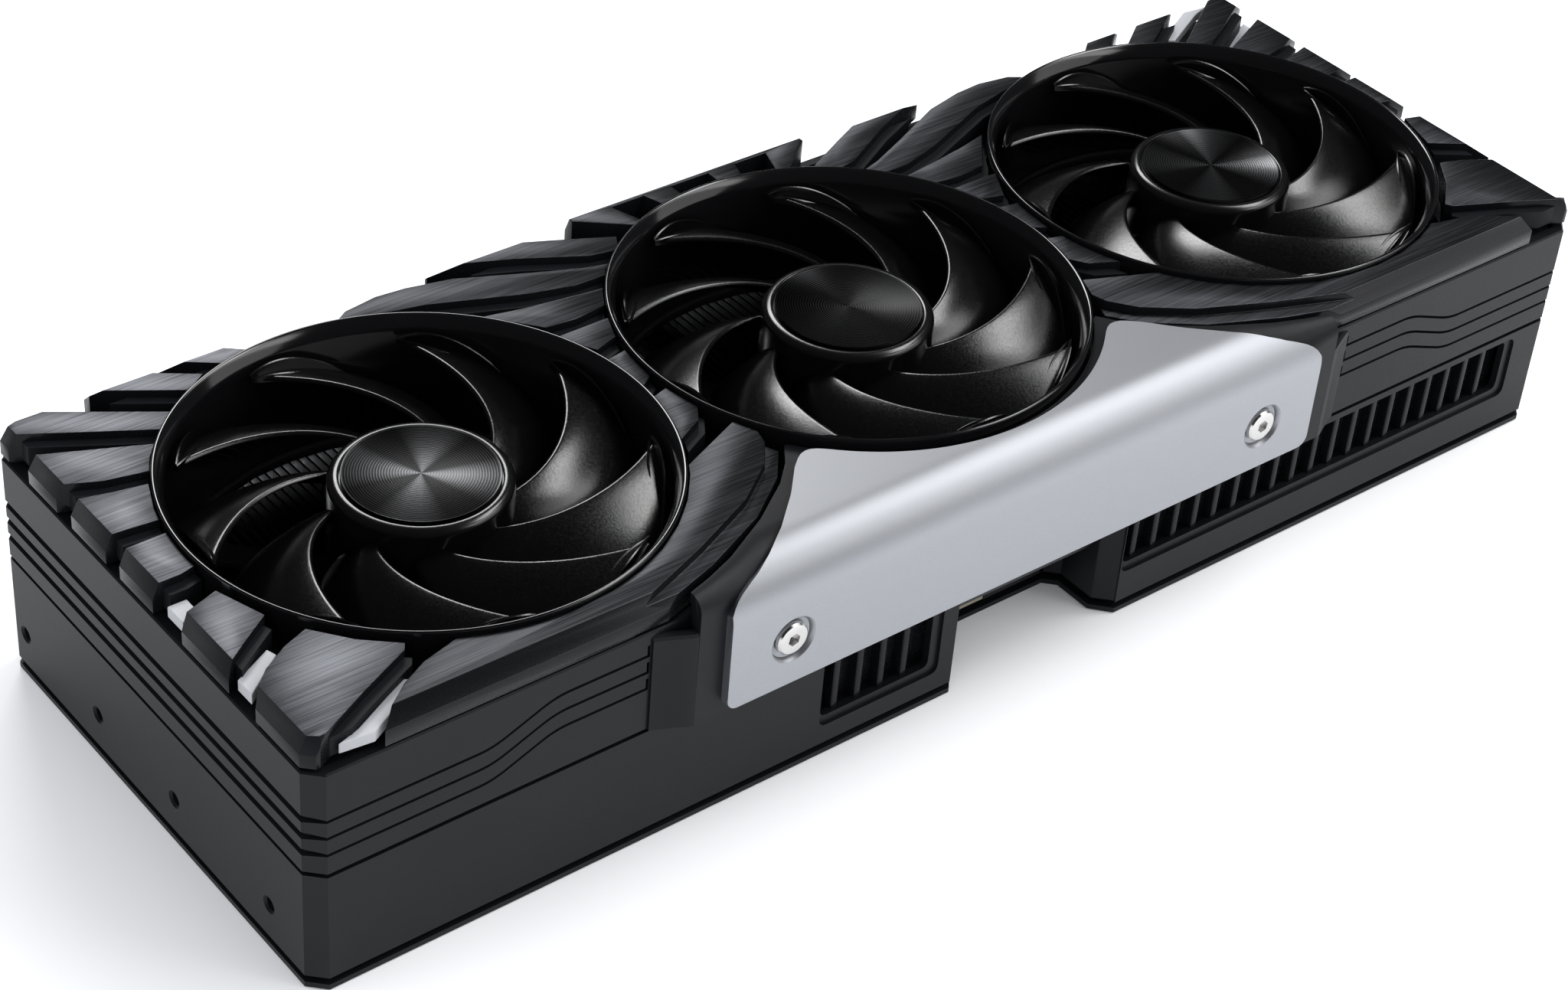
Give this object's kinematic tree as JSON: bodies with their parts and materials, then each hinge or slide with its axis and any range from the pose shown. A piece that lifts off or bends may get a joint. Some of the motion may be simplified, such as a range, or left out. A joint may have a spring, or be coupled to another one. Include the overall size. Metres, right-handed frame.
{
  "type": "graphics card",
  "caption": "Long graphics card with axial fans on a vented shroud, brushed feather-like trim blocks, a bent silver front plate, backplate, edge connector and input/output bracket.",
  "frame": {"origin": "centre of the backplate's underside", "axes": "+X along the card towards the input/output bracket, +Y from the power connector side towards the edge connector, +Z out through the fans"},
  "size_m": [0.3439, 0.1353, 0.0611],
  "materials": {
    "satin_plastic": "satin black moulded plastic",
    "brushed_trim": "dark brushed trim, grain along the card",
    "gloss_ring": "polished black plastic",
    "fan_blades": "satin black with fine sparkle",
    "spun_cap": "spun metal",
    "silver_plate": "bead-blasted silver",
    "light_diffuser": "off-white translucent plastic",
    "fins": "plain thin sheet",
    "copper_parts": "copper, lightly polished",
    "board": "black solder mask",
    "moulded_plastic": "black moulded plastic",
    "steel_parts": "plated steel"
  },
  "bodies": {
    "card": {"backplate": "satin_plastic", "circuit_board": "board", "graphics_package": "board", "memory_chip_1": "moulded_plastic", "memory_chip_2": "moulded_plastic", "memory_chip_3": "moulded_plastic", "memory_chip_4": "moulded_plastic", "vapour_chamber": "copper_parts", "heat_pipe_1": "copper_parts", "heat_pipe_2": "copper_parts", "heat_pipe_3": "copper_parts", "heat_pipe_4": "copper_parts", "heat_pipe_5": "copper_parts", "rear_fin_stack": "fins", "front_fin_stack": "fins", "power_connector": "moulded_plastic", "io_bracket": "steel_parts", "display_port_1": "steel_parts", "display_port_2": "steel_parts", "display_port_3": "steel_parts", "media_port": "steel_parts", "lower_frame": "satin_plastic", "fan_shroud": "satin_plastic", "left_end_trim": "brushed_trim", "right_end_trim": "brushed_trim", "left_centre_trim": "brushed_trim", "right_centre_trim": "brushed_trim", "left_front_panel": "brushed_trim", "right_front_panel": "brushed_trim", "far_bridge": "brushed_trim", "left_light_diffuser": "light_diffuser", "right_light_diffuser": "light_diffuser", "bezel": "satin_plastic", "silver_plate": "silver_plate", "left_plate_screw": "steel_parts", "right_plate_screw": "steel_parts", "fan_ring_1": "gloss_ring", "fan_mount_1": "moulded_plastic", "fan_bearing_1": "steel_parts", "fan_stator_1": "copper_parts", "fan_ring_2": "gloss_ring", "fan_mount_2": "moulded_plastic", "fan_bearing_2": "steel_parts", "fan_stator_2": "copper_parts", "fan_ring_3": "gloss_ring", "fan_mount_3": "moulded_plastic", "fan_bearing_3": "steel_parts", "fan_stator_3": "copper_parts"},
    "fan_1": {"fan_rotor_1": "fan_blades", "fan_shaft_1": "steel_parts", "hub_cap_1": "spun_cap"},
    "fan_2": {"fan_rotor_2": "fan_blades", "fan_shaft_2": "steel_parts", "hub_cap_2": "spun_cap"},
    "fan_3": {"fan_rotor_3": "fan_blades", "fan_shaft_3": "steel_parts", "hub_cap_3": "spun_cap"}
  },
  "joints": [
    {"name": "fan_1_spin", "type": "hinge", "parent": "card", "child": "fan_1", "pos_m": [-0.1057, -0.0003, 0.045], "axis": [0, 0, 1], "continuous": true},
    {"name": "fan_2_spin", "type": "hinge", "parent": "card", "child": "fan_2", "pos_m": [0, -0.0003, 0.045], "axis": [0, 0, 1], "continuous": true},
    {"name": "fan_3_spin", "type": "hinge", "parent": "card", "child": "fan_3", "pos_m": [0.1057, -0.0003, 0.045], "axis": [0, 0, 1], "continuous": true}
  ]
}
